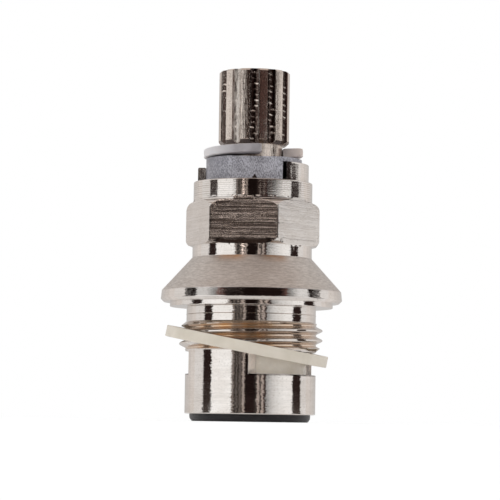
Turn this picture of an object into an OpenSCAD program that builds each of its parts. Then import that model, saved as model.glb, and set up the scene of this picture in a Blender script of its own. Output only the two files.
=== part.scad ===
// Quarter-turn ceramic disc tap cartridge with a 3/4 inch parallel pipe thread.
// Millimetres. The axis is Z, the open end of the barrel is down and the handle end is up.

/* [Barrel and thread] */
// major diameter of the external pipe thread
thread_major_d = 26.441; // [24:0.001:30]
// axial distance from one thread turn to the next
thread_pitch = 1.814; // [1.4:0.001:2.2]
// axial length of the threaded band with its end chamfers
thread_len = 5.3; // [4.5:0.1:7]
// turn of the thread about the axis, as the height of a groove at the right-hand side
thread_lead_in = 1.4; // [0.9:0.1:1.6]
// how much smaller the barrel is than the thread root, so it passes the tapped hole
barrel_undersize = 0.02; // [0.01:0.01:0.3]
// thickness of the barrel wall round the disc chamber
barrel_wall = 1.6; // [1.4:0.1:1.8]
// height of the closed barrel ring below the windows
barrel_ring_h = 7.3; // [7:0.1:9]
// height of each milled window
window_h = 4.2; // [3.5:0.05:4.4]
// plain land left between the windows and the thread
window_land = 0.15; // [0.1:0.05:0.5]
// distance from the axis to the milled face of a window
window_face = 6.83; // [6.2:0.01:8]
// direction of the first window about the axis, in degrees from the right-hand side
window_angle = -36; // [-60:1:0]

/* [Flange, hexagon and collar] */
// plain band between the thread and the flange
relief_len = 2.75; // [2:0.05:4]
// how much smaller that band is than the barrel, on the radius
relief_undercut = 0.1; // [0.05:0.01:0.4]
// diameter of the step that centres the washer
step_d = 30.1; // [28:0.1:31.5]
// height of the step
step_h = 0.85; // [0.5:0.05:1.5]
// diameter of the flange
flange_d = 33.5; // [32.5:0.1:38]
// height of the flange's upright rim
rim_h = 1.6; // [1:0.1:3]
// bevel under the rim
rim_bevel = 0.55; // [0.2:0.05:0.8]
// height of the cone above the rim
cone_h = 6.1; // [4:0.1:8]
// diameter of the neck between the cone and the hexagon
neck_d = 22.1; // [21.5:0.1:24]
// height of that neck
neck_h = 2.1; // [1.5:0.1:4]
// hexagon across its flats
hex_af = 21.7; // [21:0.1:21.8]
// height of the hexagon
hex_h = 8.1; // [6:0.1:10]
// direction of one hexagon corner, in degrees from the right-hand side
hex_angle = -9; // [-30:1:30]
// diameter of the collar above the hexagon
collar_d = 22; // [21.8:0.1:23]
// height of the collar
collar_h = 3.8; // [3:0.1:5]
// how far the milled flats run up into the collar
flat_overrun = 1.5; // [0.5:0.1:2.5]
// height of the rounded bevel under the hexagon
hex_bevel_low = 1.3; // [0.8:0.1:2]
// height of the rounded bevel above the hexagon
hex_bevel_high = 1.7; // [0.8:0.1:2.2]

/* [Stop lugs and stop ring] */
// outer diameter of the two milled lugs
lug_d = 20.6; // [20:0.1:21]
// height of the stop lug above the collar
lug_h = 3.4; // [2.8:0.1:4]
// angle that each lug covers
lug_span = 45; // [35:1:50]
// direction of the stop lug's near face, in degrees from the right-hand side
lug_angle = -49; // [-60:1:-30]
// how much lower the guide lug is than the stop lug
guide_drop = 0.55; // [0:0.05:1]
// turn between closed and open
turn_angle = 90; // [80:1:95]
// turn left before the ring meets the lug in the photographed position
rest_turn = 2.5; // [0.5:0.1:6]
// extra free turn at each end, so the faces never bind
stop_ease = 0.4; // [0.2:0.1:1]
// diameter of the stop ring below its plate
ring_core_d = 17.5; // [17.2:0.1:17.6]
// diameter of the stop ring's top plate
ring_plate_d = 18; // [17.6:0.1:19]
// full height of the stop ring
ring_h = 4.35; // [4.2:0.05:5.2]
// distance from the axis to the ring's flat front
ring_flat = 7.25; // [7.1:0.05:7.8]
// width of the index notch in the flat's lower edge
notch_w = 1.5; // [0.8:0.1:2]
// height of that notch
notch_h = 1.05; // [0.5:0.05:1.5]

/* [Retaining clip] */
// outer diameter of the clip
clip_d = 18.4; // [16:0.1:19]
// thickness of the clip
clip_t = 1.65; // [1.2:0.05:1.8]
// angle of the clip's open gap
clip_gap = 75; // [55:1:85]
// direction of the gap's middle, in degrees from the right-hand side
clip_angle = -42.5; // [-60:0.5:-20]
// how far the clip's right side stands up in its groove
clip_tilt = 1.6; // [0:0.1:1.6]
// how far its front stands up
clip_lean = 1.2; // [0:0.1:1.4]

/* [Spindle] */
// diameter over the handle teeth
spline_d = 13.2; // [12.8:0.05:13.4]
// number of handle teeth
spline_teeth = 12; // [10:1:14]
// depth of the valleys between the teeth
spline_depth = 0.6; // [0.4:0.05:0.7]
// part of each tooth pitch that the valley takes
valley_share = 0.55; // [0.45:0.01:0.6]
// length of the handle teeth
spline_len = 13.8; // [10:0.05:18]
// height of the neck groove that holds the clip
groove_h = 2.7; // [2.6:0.05:3.2]
// diameter of the neck groove
groove_d = 10.7; // [10:0.1:11]
// diameter of the stem where it turns in the body
journal_d = 13.9; // [13.8:0.05:14.2]
// thickness of the stem's foot
foot_h = 1.85; // [1.5:0.05:2.2]
// diameter of the stem's foot
foot_d = 18.8; // [17.5:0.1:19.5]
// width of the driving bar under the foot
bar_w = 3.9; // [3:0.1:5]
// length of the driving bar
bar_l = 12.8; // [10:0.1:14]
// height of the driving bar
bar_h = 1.9; // [1.5:0.1:2.4]
// drilled diameter of the tapped hole for the handle screw
screw_hole_d = 4.2; // [3.3:0.1:5]
// depth of that hole
screw_hole_depth = 11; // [8:0.5:12]
// height of the lower seal groove's middle above the inner shoulder
o_ring_low = 7; // [4:0.5:9]
// distance between the two seal grooves
o_ring_apart = 6; // [4:0.5:9]
// section of the stem seals
o_ring_section = 1.66; // [1.4:0.02:1.8]

/* [Discs and base seal] */
// thickness of the fixed disc
fixed_t = 4; // [3.5:0.1:4.2]
// thickness of the moving disc
moving_t = 4.4; // [4:0.1:4.8]
// diameter of the moving disc
moving_d = 20.6; // [19:0.1:20.7]
// angle of each port in the fixed disc
port_span = 80; // [60:1:82]
// inner radius of the ports
port_r0 = 3.4; // [3:0.1:4]
// outer radius of the ports
port_r1 = 7.3; // [6:0.1:7.5]
// width of the fixed disc's ears
ear_w = 4; // [3:0.1:6]
// thickness of the thrust washer
thrust_t = 0.75; // [0.5:0.05:1]
// how far the base seal stands out of the barrel
seal_proud = 1.35; // [1:0.05:2]
// depth of the pocket that holds the base seal
pocket_depth = 2.95; // [2.5:0.05:3.2]
// thickness of the barrel wall round that pocket
pocket_wall = 0.85; // [0.75:0.05:1]
// wall of the support ring inside the seal
support_wall = 0.8; // [0.6:0.05:1]
// diameter of the clear way in through the support ring
inlet_d = 15.2; // [15:0.1:15.8]

/* [Loose washer] */
// outer diameter of the washer
washer_d = 30.3; // [30:0.1:31]
// hole of the washer
washer_bore = 27.7; // [27.6:0.05:28]
// thickness of the washer
washer_t = 2.05; // [1.5:0.05:2.2]
// sideways lean of the washer
washer_tilt = 10.5; // [8:0.5:11]
// dip of the washer towards the front
washer_lean = 2.1; // [0:0.1:2.5]
// sideways offset of the washer
washer_shift = -0.75; // [-1:0.01:-0.6]
// how far the washer's middle is above the thread's lower end
washer_rise = 0.9; // [0.8:0.05:1.2]

/* [Clearances] */
// running clearance of the stem in its bore, on the radius
running_clear = 0.04; // [0.02:0.01:0.08]
// clearance between faces that slide on each other
face_clear = 0.03; // [0.02:0.01:0.06]
// clearance round loose pieces, on the radius
loose_clear = 0.1; // [0.05:0.01:0.2]
// clearance of the ring's teeth on the stem, on the radius
tooth_clear = 0.06; // [0.03:0.01:0.08]

/* [Hidden] */
$fn = 96;
eps = 0.01;
reach = 40;
thread_depth = 0.6403 * thread_pitch;
thread_r = thread_major_d / 2;
root_r = thread_r - thread_depth;
barrel_r = root_r - barrel_undersize / 2;
relief_r = barrel_r - relief_undercut;
chamber_r = barrel_r - barrel_wall;
pocket_r = barrel_r - pocket_wall;
z_barrel = seal_proud;
z_window = z_barrel + barrel_ring_h;
z_thread = z_window + window_h + window_land;
z_relief = z_thread + thread_len;
z_step = z_relief + relief_len;
z_flange = z_step + step_h;
z_rim = z_flange + rim_bevel;
z_cone = z_rim + rim_h;
z_neck = z_cone + cone_h;
z_hex = z_neck + neck_h;
z_collar = z_hex + hex_h;
z_top = z_collar + collar_h;
z_pocket = z_barrel + pocket_depth;
z_moving = z_pocket + fixed_t + face_clear;
z_foot = z_moving + moving_t + face_clear;
z_thrust = z_foot + foot_h + face_clear;
z_shoulder = z_thrust + thrust_t + face_clear;
z_ring = z_top + face_clear;
z_clip = z_ring + ring_h;
z_groove = z_clip - 0.2;
z_spline = z_groove + groove_h;
z_end = z_spline + spline_len;
spline_r = spline_d / 2;
tooth_pitch_angle = 360 / spline_teeth;
half_valley = spline_r * sin(tooth_pitch_angle * valley_share / 2);
valley_flat = spline_r * cos(tooth_pitch_angle * valley_share / 2);
valley_drop = valley_flat - spline_r + spline_depth;
valley_r = (half_valley * half_valley + valley_drop * valley_drop) / (2 * valley_drop);
valley_c = spline_r - spline_depth + valley_r;
journal_r = journal_d / 2;
stem_bore_r = journal_r + running_clear;
o_ring_r = stem_bore_r - 0.02 - o_ring_section / 2;
z_seal_low = z_shoulder + o_ring_low;
z_seal_high = z_seal_low + o_ring_apart;
clip_lift = clip_d / 2 * sqrt(sin(clip_tilt) * sin(clip_tilt) + sin(clip_lean) * sin(clip_lean));
notch_angle = lug_angle - rest_turn - stop_ease;
notch_span = lug_span + turn_angle + 2 * stop_ease;
guide_r = ring_core_d / 2 + 0.15;
bevel = 0.55;

// flat wedge from angle a over span s, with s under 180
module wedge(a, s)
{
    polygon([[0, 0], for (k = [0 : 3]) [reach * cos(a + s * k / 3), reach * sin(a + s * k / 3)]]);
}

// ring-shaped sector from angle a over span s
module sector(r0, r1, a, s, h)
{
    linear_extrude(h)
        intersection() {
            difference() {
                circle(r1);
                circle(r0);
            }
            wedge(a, s);
        }
}

// flat washer shape
module ring(r0, r1, h)
{
    linear_extrude(h)
        difference() {
            circle(r1);
            circle(r0);
        }
}

// outline of the handle teeth, larger by grow
module spline_outline(grow)
{
    difference() {
        circle(spline_r + grow);
        for (k = [0 : spline_teeth - 1])
            rotate(tooth_pitch_angle * k - 90)
                translate([valley_c, 0])
                    circle(valley_r - grow);
    }
}

// length of toothed stem with both ends bevelled
module toothed(h, low, high)
{
    intersection() {
        linear_extrude(h)
            spline_outline(0);
        rotate_extrude()
            polygon([[0, 0], [spline_r + 0.2 - low, 0], [spline_r + 0.2, low], [spline_r + 0.2, h - high],
                [spline_r + 0.2 - high, h], [0, h]]);
    }
}

// helical V groove, from the axial section of the thread swept along its turn
module thread_groove()
{
    steps = 36;
    turns = 3 + ceil((thread_len - 4) / thread_pitch);
    count = steps * turns;
    r_in = root_r / cos(180 / steps);
    r_out = thread_r + 0.08;
    half_in = thread_pitch / 12;
    half_out = thread_pitch / 4 + (thread_depth / 2 + 0.08) * tan(27.5);
    section = [[r_in, -half_in], [r_out, -half_out], [r_out, half_out], [r_in, half_in]];
    rows = [for (i = [0 : count], p = section)
        [p[0] * cos(360 * i / steps), p[0] * sin(360 * i / steps), p[1] + thread_pitch * i / steps]];
    sides = [for (i = [0 : count - 1], k = [0 : 3])
        [4 * i + k, 4 * i + (k + 1) % 4, 4 * i + 4 + (k + 1) % 4, 4 * i + 4 + k]];
    caps = [[3, 2, 1, 0], [4 * count, 4 * count + 1, 4 * count + 2, 4 * count + 3]];
    translate([0, 0, z_thread - thread_pitch + thread_lead_in - 0.2])
        polyhedron(points = rows, faces = concat(sides, caps), convexity = 12);
}

// threaded band with both ends bevelled
module thread_band()
{
    difference() {
        translate([0, 0, z_thread])
            rotate_extrude()
                polygon([[chamber_r + 0.4, 0], [barrel_r, 0], [thread_r, thread_depth * 0.85],
                    [thread_r, thread_len - thread_depth * 0.85], [relief_r, thread_len],
                    [chamber_r + 0.4, thread_len]]);
        thread_groove();
    }
}

// turned outside of the body without thread and hexagon
module turned_blank()
{
    rotate_extrude()
        polygon([[0, z_barrel], [barrel_r - 0.2, z_barrel], [barrel_r, z_barrel + 0.2],
            [barrel_r, z_thread + 0.5], [relief_r, z_thread + 0.7], [relief_r, z_step],
            [step_d / 2 - 0.12, z_step], [step_d / 2, z_step + 0.12], [step_d / 2, z_flange],
            [flange_d / 2 - rim_bevel, z_flange], [flange_d / 2, z_rim], [flange_d / 2, z_cone],
            [neck_d / 2, z_neck], [neck_d / 2, z_hex + eps], [0, z_hex + eps]]);
}

// hexagon with its corners turned off, and the collar that the flats run into
module hexagon_and_collar()
{
    corner_r = hex_af / sqrt(3);
    low_bevel = [for (a = [0 : 15 : 90])
        [neck_d / 2 + (corner_r - neck_d / 2) * sin(a), z_hex + hex_bevel_low * (1 - cos(a))]];
    high_bevel = [for (a = [0 : 15 : 90])
        [collar_d / 2 + (corner_r - collar_d / 2) * cos(a), z_collar - hex_bevel_high * (1 - sin(a))]];
    intersection() {
        translate([0, 0, z_hex])
            rotate(hex_angle)
                cylinder(r = corner_r, h = hex_h + flat_overrun, $fn = 6);
        rotate_extrude()
            polygon([[0, z_hex], each low_bevel, each high_bevel, [collar_d / 2, z_top], [0, z_top]]);
    }
    translate([0, 0, z_collar + flat_overrun])
        rotate_extrude()
            polygon([[0, -0.1], [collar_d / 2, -0.1], [collar_d / 2, collar_h - flat_overrun - 0.25],
                [collar_d / 2 - 0.25, collar_h - flat_overrun], [0, collar_h - flat_overrun]]);
}

// two milled lugs that stand on the collar
module lugs()
{
    translate([0, 0, z_top - eps])
        sector(stem_bore_r, lug_d / 2, lug_angle, lug_span, lug_h + eps);
    translate([0, 0, z_top - eps])
        sector(guide_r, lug_d / 2, lug_angle + 180, lug_span, lug_h - guide_drop + eps);
}

module body()
{
    color([0.74, 0.68, 0.64])
        difference() {
            union() {
                turned_blank();
                thread_band();
                hexagon_and_collar();
                lugs();
            }
            translate([0, 0, z_barrel - 1])
                cylinder(r = pocket_r, h = pocket_depth + 1);
            translate([0, 0, z_barrel])
                cylinder(r = chamber_r, h = z_shoulder - z_barrel);
            translate([0, 0, z_shoulder - 1])
                cylinder(r = stem_bore_r, h = z_top + 2 - z_shoulder + 1);
            for (side = [0, 180])
                rotate(window_angle + side)
                    translate([window_face, -reach / 2, z_window])
                        cube([reach, reach, window_h]);
            for (side = [0, 180])
                rotate(window_angle + 90 + side)
                    translate([0, -ear_w / 2 - loose_clear / 2, z_pocket - 1])
                        cube([pocket_r - 0.05, ear_w + loose_clear, fixed_t + 1]);
        }
}

module spindle()
{
    color([0.72, 0.66, 0.62])
        difference() {
            union() {
                translate([0, 0, z_foot - bar_h])
                    rotate(window_angle)
                        intersection() {
                            translate([-bar_l / 2, -bar_w / 2, 0])
                                cube([bar_l, bar_w, bar_h + eps]);
                            cylinder(d = bar_l, h = bar_h + eps);
                        }
                translate([0, 0, z_foot])
                    cylinder(d = foot_d, h = foot_h);
                translate([0, 0, z_foot])
                    cylinder(r = journal_r, h = z_top - z_foot - 0.2);
                translate([0, 0, z_top - 0.2 - eps])
                    toothed(z_groove - z_top + 0.2 + eps, 0, 0.3);
                translate([0, 0, z_groove - eps])
                    cylinder(d = groove_d, h = groove_h + 2 * eps);
                translate([0, 0, z_spline])
                    toothed(spline_len, 0.9, 0.55);
            }
            translate([0, 0, z_end - screw_hole_depth])
                cylinder(d = screw_hole_d, h = screw_hole_depth + 1);
            for (z = [z_seal_low, z_seal_high])
                translate([0, 0, z - o_ring_section * 0.62])
                    ring(o_ring_r - o_ring_section / 2, journal_r + 1, o_ring_section * 1.24);
        }
}

module stop_ring()
{
    color([0.56, 0.55, 0.6])
        translate([0, 0, z_ring])
            difference() {
                union() {
                    linear_extrude(lug_h + 0.1)
                        difference() {
                            circle(d = ring_core_d);
                            wedge(notch_angle, notch_span);
                        }
                    translate([0, 0, lug_h + 0.1 - eps])
                        cylinder(d = ring_core_d, h = ring_h - lug_h - 0.1 + eps);
                    translate([0, 0, lug_h + 0.1])
                        sector(spline_r + 1, ring_plate_d / 2, notch_angle, notch_span, ring_h - lug_h - 0.1);
                }
                translate([0, 0, -1])
                    linear_extrude(ring_h + 2)
                        spline_outline(tooth_clear);
                rotate(-87)
                    translate([ring_flat, -reach / 2, -1])
                        cube([reach, reach, ring_h + 2]);
                rotate(-88)
                    translate([spline_r - 1, 0, 0])
                        rotate([90, 0, 90])
                            linear_extrude(ring_flat - spline_r + 2)
                                polygon([[-notch_w / 2, -eps], [notch_w / 2, -eps], [0, notch_h]]);
            }
}

module retaining_clip()
{
    color([0.72, 0.71, 0.71])
        translate([0, 0, z_clip + face_clear + clip_lift])
            rotate([-clip_lean, -clip_tilt, 0])
                linear_extrude(clip_t)
                    difference() {
                        circle(d = clip_d);
                        circle(r = groove_d / 2 + loose_clear);
                        wedge(clip_angle - clip_gap / 2, clip_gap);
                    }
}

module thrust_washer()
{
    color([0.9, 0.9, 0.88])
        translate([0, 0, z_thrust])
            ring(stem_bore_r + 0.2, foot_d / 2, thrust_t);
}

// rubber ring in a stem groove at height z
module stem_seal(z)
{
    color([0.06, 0.06, 0.06])
        translate([0, 0, z])
            rotate_extrude()
                translate([o_ring_r, 0])
                    circle(d = o_ring_section);
}

module spindle_o_ring_upper()
{
    stem_seal(z_seal_high);
}

module spindle_o_ring_lower()
{
    stem_seal(z_seal_low);
}

module moving_disc()
{
    color([0.9, 0.89, 0.83])
        translate([0, 0, z_moving])
            rotate(window_angle)
                difference() {
                    cylinder(d = moving_d, h = moving_t);
                    for (side = [90, 270])
                        translate([0, 0, -1])
                            sector(port_r0, reach, side - port_span / 2 - 0.5, port_span + 1, moving_t + 2);
                    translate([-bar_l / 2 - loose_clear, -bar_w / 2 - face_clear,
                        moving_t - bar_h - loose_clear])
                        cube([bar_l + 2 * loose_clear, bar_w + 2 * face_clear, bar_h + 1]);
                }
}

module fixed_disc()
{
    color([0.92, 0.91, 0.86])
        translate([0, 0, z_pocket])
            rotate(window_angle)
                difference() {
                    union() {
                        cylinder(r = chamber_r - loose_clear, h = fixed_t);
                        intersection() {
                            cylinder(r = pocket_r - 0.15, h = fixed_t - 0.1);
                            translate([-ear_w / 2, -reach / 2, 0])
                                cube([ear_w, reach, fixed_t]);
                        }
                    }
                    for (side = [0, 180])
                        translate([0, 0, -1])
                            sector(port_r0, port_r1, side - port_span / 2, port_span, fixed_t + 2);
                }
}

module base_seal()
{
    seal_r = pocket_r - 0.05;
    inner_r = inlet_d / 2 + support_wall;
    seal_h = z_pocket - face_clear;
    color([0.07, 0.07, 0.07])
        rotate_extrude()
            polygon([[inner_r + 0.3, 0], [seal_r - 0.75, 0], [seal_r - 0.4, 0.1], [seal_r - 0.12, 0.38],
                [seal_r - 0.06, 0.7], [seal_r, 0.85], [seal_r, seal_h], [inner_r, seal_h], [inner_r, 0.3]]);
}

module seal_support_ring()
{
    color([0.75, 0.6, 0.35])
        translate([0, 0, 0.4])
            ring(inlet_d / 2, inlet_d / 2 + support_wall, z_pocket - face_clear - 0.4);
}

module flange_washer()
{
    color([0.87, 0.85, 0.74])
        translate([washer_shift, 0, z_thread + washer_rise])
            rotate([washer_lean, washer_tilt, 0])
                translate([0, 0, -washer_t / 2])
                    ring(washer_bore / 2, washer_d / 2, washer_t);
}

body();
spindle();
stop_ring();
retaining_clip();
thrust_washer();
spindle_o_ring_upper();
spindle_o_ring_lower();
moving_disc();
fixed_disc();
base_seal();
seal_support_ring();
flange_washer();
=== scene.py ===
import math

import bmesh
import bpy
import numpy as np
from mathutils import Matrix


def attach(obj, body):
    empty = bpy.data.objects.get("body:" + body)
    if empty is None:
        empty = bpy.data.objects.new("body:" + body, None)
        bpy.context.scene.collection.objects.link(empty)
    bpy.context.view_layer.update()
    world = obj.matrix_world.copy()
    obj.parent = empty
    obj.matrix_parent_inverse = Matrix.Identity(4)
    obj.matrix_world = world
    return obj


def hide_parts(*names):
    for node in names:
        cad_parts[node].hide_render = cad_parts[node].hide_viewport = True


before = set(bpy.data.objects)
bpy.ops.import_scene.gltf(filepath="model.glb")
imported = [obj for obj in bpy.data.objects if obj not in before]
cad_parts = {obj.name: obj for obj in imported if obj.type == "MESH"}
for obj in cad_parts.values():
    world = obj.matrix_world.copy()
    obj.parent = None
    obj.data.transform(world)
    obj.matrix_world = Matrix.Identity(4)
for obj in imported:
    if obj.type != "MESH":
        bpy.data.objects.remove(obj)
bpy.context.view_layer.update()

# The studio: a white sweep, a pale floor under the cartridge, a tall softbox in front at each side and the
# dark camera side between them. The plated brass mirrors the cards that stand round it, so each stands where
# one of its bright or dark bands comes from. The camera doesn't see the cards.
MM = 0.001
card_distance, card_top = 1.3, 58.0
tongue_start, tongue_lift = 0.03, 0.05 * MM
dusk, clay, soft_white, back_white = (1, 0.6, 0.54), (1, 0.87, 0.8), (0.98, 1.0, 1.01), (1, 0.965, 0.94)


def fit(node, **sockets):
    """Sets or links a node's inputs by name, with spaces written as _, or by number, as in i0."""
    for key, value in sockets.items():
        numbered = key[0] == "i" and key[1:].isdigit()
        socket = node.inputs[int(key[1:])] if numbered else node.inputs[key.replace("_", " ")]
        if isinstance(value, bpy.types.NodeSocket):
            node.id_data.links.new(value, socket)
        else:
            socket.default_value = value


def add_node(tree, kind, settings=None, **sockets):
    """A new node with its settings and its inputs; gives back its outputs."""
    made = tree.nodes.new("ShaderNode" + kind)
    for key, value in (settings or {}).items():
        setattr(made, key, value)
    fit(made, **sockets)
    return made.outputs


def tree_of(*values):
    """The node tree of the first socket among the values."""
    return next(value.id_data for value in values if isinstance(value, bpy.types.NodeSocket))


def calc(operation, first, second=0.0, third=0.0):
    """One math node."""
    return add_node(tree_of(first, second), "Math", {"operation": operation},
                    i0=first, i1=second, i2=third)[0]


def spread(value, low, high, to_low, to_high):
    """A value from low to high carried to the range from to_low to to_high."""
    return add_node(value.id_data, "MapRange", Value=value, From_Min=low, From_Max=high,
                    To_Min=to_low, To_Max=to_high)[0]


def start_finish(name):
    """A new material, with its node tree and its principled shader."""
    made = bpy.data.materials.new(name)
    made.use_nodes = True
    return made, made.node_tree, made.node_tree.nodes["Principled BSDF"]


def card_paint(name, colour, strength):
    """A surface that only gives light: a softbox front, or a dull card where the strength is low."""
    made, tree, _ = start_finish(name)
    tree.nodes.clear()
    glow = add_node(tree, "Emission", Color=(*colour, 1), Strength=strength)[0]
    add_node(tree, "OutputMaterial", Surface=glow)
    return made


def studio_piece(name, points, faces, paint):
    """An object of the studio, from its points, its faces and its paint."""
    mesh = bpy.data.meshes.new(name)
    mesh.from_pydata(points, [], faces)
    mesh.materials.append(paint)
    made = bpy.data.objects.new(name, mesh)
    bpy.context.scene.collection.objects.link(made)
    return made


def studio_card(name, start, end, colour, strength, low=0.0, top=card_top, far=card_distance, tongue=None):
    """A tall card: a strip of a cylinder round the cartridge, azimuth from start to end in degrees, 0 towards
    the camera and positive to its right, between two elevations. A card that stands on the floor has a
    tongue, a strip along the floor to the cartridge, so that upright metal shows one unbroken band; it may
    have its own (colour, strength). Only mirrors see the tongues, the dull cards and the cards behind."""
    swing = np.radians(np.linspace(start, end, max(2, int(abs(end - start)) // 2 + 2)))
    columns = len(swing)
    first = np.arange(columns - 1)
    faces = np.stack([first, first + 1, first + 1 + columns, first + columns], -1).tolist()
    rise = [math.tan(math.radians(edge)) * far for edge in (low, top)]
    strips = [(name, (far, far), rise, (colour, strength))]
    if low == 0:
        strips.append((name + "_tongue", (tongue_start, far), (tongue_lift, tongue_lift),
                       tongue or (colour, strength)))
    for strip, reach, height, paint in strips:
        reach = np.array(reach)[:, None]
        height = np.array(height)[:, None] + 0 * swing
        points = np.stack([reach * np.sin(swing), -reach * np.cos(swing), height], -1)
        card = studio_piece(strip, points.reshape(-1, 3).tolist(), faces, card_paint(strip, *paint))
        card.visible_camera = False
        if strip != name or strength < 0.5 or abs(start) > 100:
            card.visible_diffuse = False
            card.visible_shadow = False
            card.visible_transmission = False


def card_row(name, low, top, start, *runs):
    """Cards side by side between two elevations. A run is a colour and the (end, strength) of its cards, and
    each card starts where the one before it ends."""
    for colour, *cards in runs:
        for end, strength in cards:
            studio_card(f"{name}_{end:.1f}", start, end, colour, strength, low, top)
            start = end


# upright metal mirrors the cards up to about 8 degrees, the flange's leaning rim those from 11.6 to 16.5, and
# rounded edges the rest. Narrow slats break up the camera side's edges, and only the front flat's rough
# cutter marks catch front_flat_card.
studio_card("camera_side", -10.3, 8, dusk, 0.0125, 0, 38, tongue=(dusk, 0.055))
studio_card("camera_side_high", -10.3, 8, clay, 0.3, 38)
for start, end, top, shades in ((-28.5, -16.9, 7.7, (0.02, 0.2)), (-16.9, -10.3, 7.7, (0.08, 0.62)),
                                (8, 23, 6.3, (0.06, 0.66))):
    slats = np.linspace(start, end, 2 * round((end - start) / 6) + 1)
    card_row("slat", 0, top, start, (clay, *zip(slats[1:], shades * len(slats))))
studio_card("front_flat_card", -21, -15.5, clay, 3.8, 5.6, 6.6, card_distance - 0.02)
card_row("left_low", 0, 7.7, -72.6, (soft_white, (-33, 1.33)), (clay, (-28.5, 0.28)))
card_row("left_high", 7.7, 11.6, -72.6, (soft_white, (-39, 1.2)), (clay, (-24, 0.1)), (dusk, (-10.3, 0.05)))
card_row("left_rim", 11.6, 16.5, -75, (soft_white, (-57, 0.85), (-53, 0.62), (-49, 0.48), (-45, 0.34)),
         (dusk, (-41, 0.22), (-37, 0.14), (-33, 0.06), (-10.3, 0.012)))
card_row("left_top", 16.5, card_top, -72.6, (soft_white, (-36, 1.2)), (clay, (-10.3, 0.45)))
card_row("right_low", 0, 6.3, 23, (dusk, (27.6, 0.05)),
         (soft_white, (33, 0.55), (38, 0.75), (44, 0.92), (51, 1.05), (60, 1.16), (79, 1.25)))
card_row("right_upper", 6.3, 8.4, 8, (dusk, (36, 0.03)),
         (soft_white, (40, 0.07), (44, 0.16), (48, 0.34), (53, 0.6), (58, 0.85), (79, 1.15)))
card_row("right_high", 8.4, 11.6, 8, (dusk, (23, 0.06), (26, 0.3), (34, 0.07), (37, 0.25), (82, 0.06)))
card_row("right_rim", 11.6, 16.5, 8, (dusk, (39, 0.015), (43, 0.07), (47, 0.17)),
         (soft_white, (51, 0.33), (55, 0.5), (60, 0.75), (64, 0.97), (77.5, 1.08)))
card_row("right_top", 16.5, 38, 8, (dusk, (82, 0.06)))
studio_card("edge_left", -91, -72.6, dusk, 0.03, 0, 8.4, tongue=(clay, 0.16))
studio_card("edge_right", 79, 99, dusk, 0.03, 0, 8.4, tongue=(clay, 0.16))
studio_card("edge_right_lug", 99, 107, dusk, 0.02, 7.43, 8.4)
studio_card("rim_edge_left", -94, -75, dusk, 0.012, 11.1, 16.5)
studio_card("rim_edge_right", 77.5, 98, dusk, 0.012, 11.1, 16.5)
back_cards = ((130, 0.95), (143, 0.83), (154, 0.74), (165, 0.66), (180, 0.58))
for side in (-1, 1):
    card_row("back", 0, card_top, 116 * side,
             (back_white, *((side * end, level) for end, level in back_cards)))


def seen_rays(tree):
    """1 for rays that come from the camera, a mirror or a clear piece, and 0 for the rest."""
    rays = add_node(tree, "LightPath")
    straight = calc("MAXIMUM", rays["Is Camera Ray"], rays["Is Glossy Ray"])
    return calc("MAXIMUM", straight, rays["Is Transmission Ray"])


floor_half, floor_drop, floor_grey = 6.0, 0.02 * MM, (0.86, 0.86, 0.86, 1)
floor_corners = [(x * floor_half, y * floor_half, -floor_drop)
                 for x, y in ((-1, -1), (1, -1), (1, 1), (-1, 1))]
floor_paint, tree, shader = start_finish("pale_floor")
fit(shader, Base_Color=floor_grey, Roughness=0.6, Specular_IOR_Level=0, Emission_Color=floor_grey,
    Emission_Strength=calc("MULTIPLY", seen_rays(tree), 0.35))
floor = studio_piece("floor", floor_corners, [(0, 1, 2, 3)], floor_paint)

sweep = bpy.data.worlds.new("white_sweep")
bpy.context.scene.world = sweep
sweep.use_nodes = True
fit(sweep.node_tree.nodes["Background"], Color=(1, 1, 1, 1),
    Strength=spread(seen_rays(sweep.node_tree), 0.0, 1.0, 0.8, 1.0))

ceiling_height, ceiling_radius = 2.6, 2.7
around = np.linspace(0, 2 * math.pi, 49)[:-1]
ceiling_rim = np.stack([ceiling_radius * np.cos(around), ceiling_radius * np.sin(around),
                        np.full(48, ceiling_height)], -1)
ceiling = studio_piece("ceiling", ceiling_rim.tolist(), [list(range(48))],
                       card_paint("ceiling", (1, 0.895, 0.84), 0.69))
ceiling.visible_camera = False
ceiling.visible_diffuse = False
ceiling.visible_shadow = False

bpy.context.scene.view_settings.view_transform = "Standard"
eye = bpy.data.cameras.new("eye")
eye.sensor_width, eye.lens = 36, 180.35
eye.clip_start, eye.clip_end = 0.01, 20
camera = bpy.data.objects.new("camera", eye)
bpy.context.scene.collection.objects.link(camera)
camera.location = (-0.4 * MM, -463 * MM, 0.35 * MM)
camera_pitch, camera_roll = math.radians(3.88), 0.015
camera.rotation_mode = "QUATERNION"
camera.rotation_quaternion = (Matrix.Rotation(math.pi / 2 + camera_pitch, 3, "X")
                              @ Matrix.Rotation(camera_roll, 3, "Z")).to_quaternion()
bpy.context.scene.camera = camera

# The body: one piece of brass bar, turned, then milled for the hexagon, the two windows and the two lugs on
# top, with a cut pipe thread. It is nickel plated, so it mirrors the studio, with turning marks round it and
# straight cutter marks on the flats. Sizes are in millimetres, and the front is at -90 degrees.
thread_r, thread_pitch, thread_depth = 13.2205, 1.814, 1.1615
root_r = thread_r - thread_depth
barrel_r = root_r - 0.01
relief_r = barrel_r - 0.1
chamber_r = barrel_r - 1.6
pocket_r = barrel_r - 0.85
stem_bore_r = 6.99
z_barrel, z_pocket, z_ear_top, z_window, z_window_top, z_thread = 1.35, 4.3, 8.3, 8.65, 12.85, 13.0
z_shoulder, z_relief, z_ridge, z_step, z_flange = 15.42, 18.3, 19.62, 21.05, 21.9
z_rim, z_cone, z_neck, z_hex, z_collar, z_flats_end, z_top = 22.45, 24.05, 30.15, 32.25, 40.35, 40.95, 44.15
step_r, flange_r, neck_r, collar_r = 15.05, 16.75, 11.05, 11.0
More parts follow.
